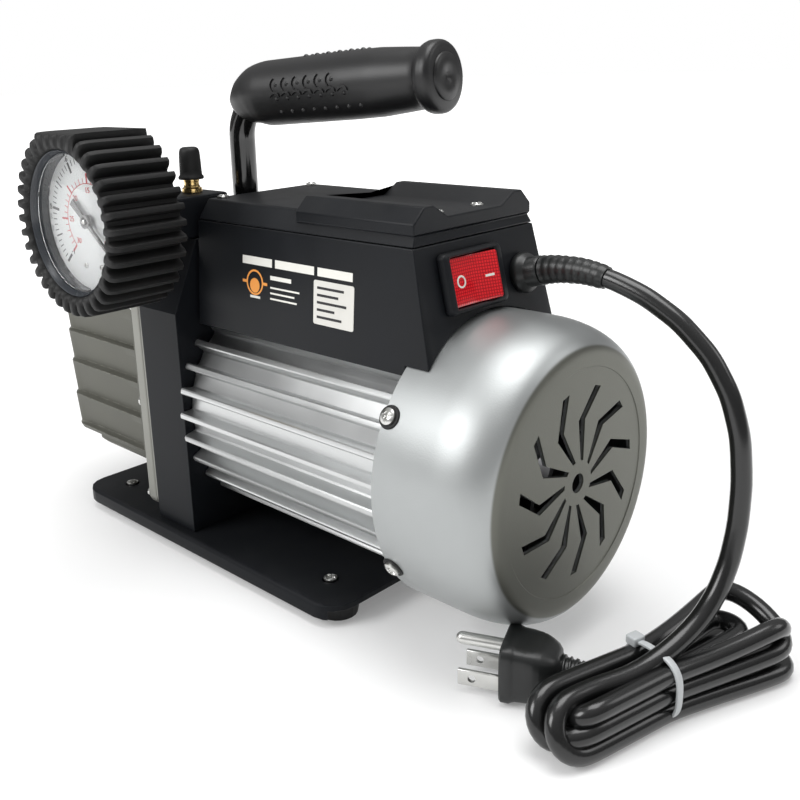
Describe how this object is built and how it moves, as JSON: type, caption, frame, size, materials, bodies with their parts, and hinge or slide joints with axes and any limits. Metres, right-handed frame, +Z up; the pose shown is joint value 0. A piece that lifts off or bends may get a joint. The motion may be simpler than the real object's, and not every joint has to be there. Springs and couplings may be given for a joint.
{
  "type": "rotary vane vacuum pump",
  "caption": "Portable rotary vane vacuum pump: finned motor, oil tank, booted vacuum gauge on top, carrying handle, rocker switch and a mains lead tied in a hank.",
  "frame": {"origin": "on the floor, below the middle of the machine's box without its lead", "axes": "+X along the shaft from the oil tank to the fan cover, -Y the side with the gauge's face and the label, +Z up"},
  "size_m": [0.3623, 0.1536, 0.2311],
  "materials": {
    "black_paint": "satin powder coat",
    "black_plastic": "fine moulded texture",
    "black_rubber": "matt moulded rubber",
    "black_pvc": "soft glossy sheath",
    "cast_aluminium": "as cast, lightly blasted",
    "bright_aluminium": "extruded, bright",
    "sprayed_silver": "satin silver spray with fine speckle",
    "steel": "ground",
    "cast_iron": "machined",
    "brass": "turned, bright",
    "copper": "enamelled copper wire",
    "white_enamel": "white, smooth",
    "clear_glass": "clear",
    "red_plastic": "translucent red with a fine grid inside",
    "grey_fibre": "dull composite",
    "cable_tie": "light grey nylon"
  },
  "bodies": {
    "pump": {"base_plate": "black_paint", "pump_head": "black_paint", "handle_tube": "black_paint", "handle_collar": "black_paint", "intake_block": "black_paint", "terminal_box": "black_plastic", "box_lid": "black_plastic", "switch_frame": "black_plastic", "gauge_case": "black_plastic", "rubber_foot_1": "black_rubber", "rubber_foot_2": "black_rubber", "rubber_foot_3": "black_rubber", "rubber_foot_4": "black_rubber", "shaft_seal": "black_rubber", "cord_gland": "black_rubber", "handle_grip": "black_rubber", "gauge_boot": "black_rubber", "power_cord": "black_pvc", "cord_hank": "black_pvc", "plug_body": "black_pvc", "oil_tank": "cast_aluminium", "end_shield": "cast_aluminium", "motor_housing": "bright_aluminium", "fan_cover": "sprayed_silver", "front_bearing": "steel", "rear_bearing": "steel", "stator_core": "steel", "pump_stator": "cast_iron", "pump_end_plate": "cast_iron", "gauge_stem": "brass", "inlet_nipple": "brass", "plug_blade_live": "brass", "plug_blade_neutral": "brass", "plug_ground_pin": "brass", "front_winding": "copper", "rear_winding": "copper", "capacitor": "white_enamel", "gauge_dial": "white_enamel", "sight_glass": "clear_glass", "gauge_lens": "clear_glass", "tank_gasket": "grey_fibre", "cord_tie": "cable_tie"},
    "shaft_line": {"motor_shaft": "steel", "motor_rotor": "bright_aluminium", "cooling_fan": "black_plastic", "pump_rotor": "cast_iron", "vane_spring_1": "steel", "vane_spring_2": "steel"},
    "vane_1": {"vane_1": "grey_fibre"},
    "vane_2": {"vane_2": "grey_fibre"},
    "rocker": {"rocker": "red_plastic"},
    "needle": {"gauge_needle": "steel"},
    "inlet_cap": {"inlet_cap": "black_rubber"},
    "filler_cap": {"filler_cap": "black_plastic"},
    "drain_screw": {"drain_screw": "brass"}
  },
  "joints": [
    {"name": "shaft_spin", "type": "hinge", "parent": "pump", "child": "shaft_line", "pos_m": [0.0339, 0.01675, 0.0708], "axis": [1, 0, 0], "continuous": true},
    {"name": "vane_1_slide", "type": "slide", "parent": "shaft_line", "child": "vane_1", "axis": [0, 0, 1], "range_m": [-0.002, 0], "stiffness_N_per_m": 60, "springref_m": 0.003, "deforming": ["vane_spring_1", "vane_spring_2"]},
    {"name": "vane_2_slide", "type": "slide", "parent": "shaft_line", "child": "vane_2", "axis": [0, 0, -1], "range_m": [-0.002, 0], "stiffness_N_per_m": 60, "springref_m": 0.003, "deforming": ["vane_spring_1", "vane_spring_2"]},
    {"name": "rocker_tip", "type": "hinge", "parent": "pump", "child": "rocker", "pos_m": [0.10254, 0.00875, 0.144], "axis": [-0.2233, 0, 0.9747], "range_deg": [-18, 0]},
    {"name": "needle_swing", "type": "hinge", "parent": "pump", "child": "needle", "pos_m": [-0.0429, -0.06595, 0.163], "axis": [0, -1, 0], "range_deg": [0, 270]},
    {"name": "inlet_cap_pull", "type": "slide", "parent": "pump", "child": "inlet_cap", "axis": [0, 0, 1], "range_m": [0, 0.03]},
    {"name": "filler_cap_lift", "type": "slide", "parent": "pump", "child": "filler_cap", "axis": [0, 0, 1], "range_m": [0, 0.03]},
    {"name": "drain_screw_out", "type": "slide", "parent": "pump", "child": "drain_screw", "axis": [-1, 0, 0], "range_m": [0, 0.02]}
  ]
}
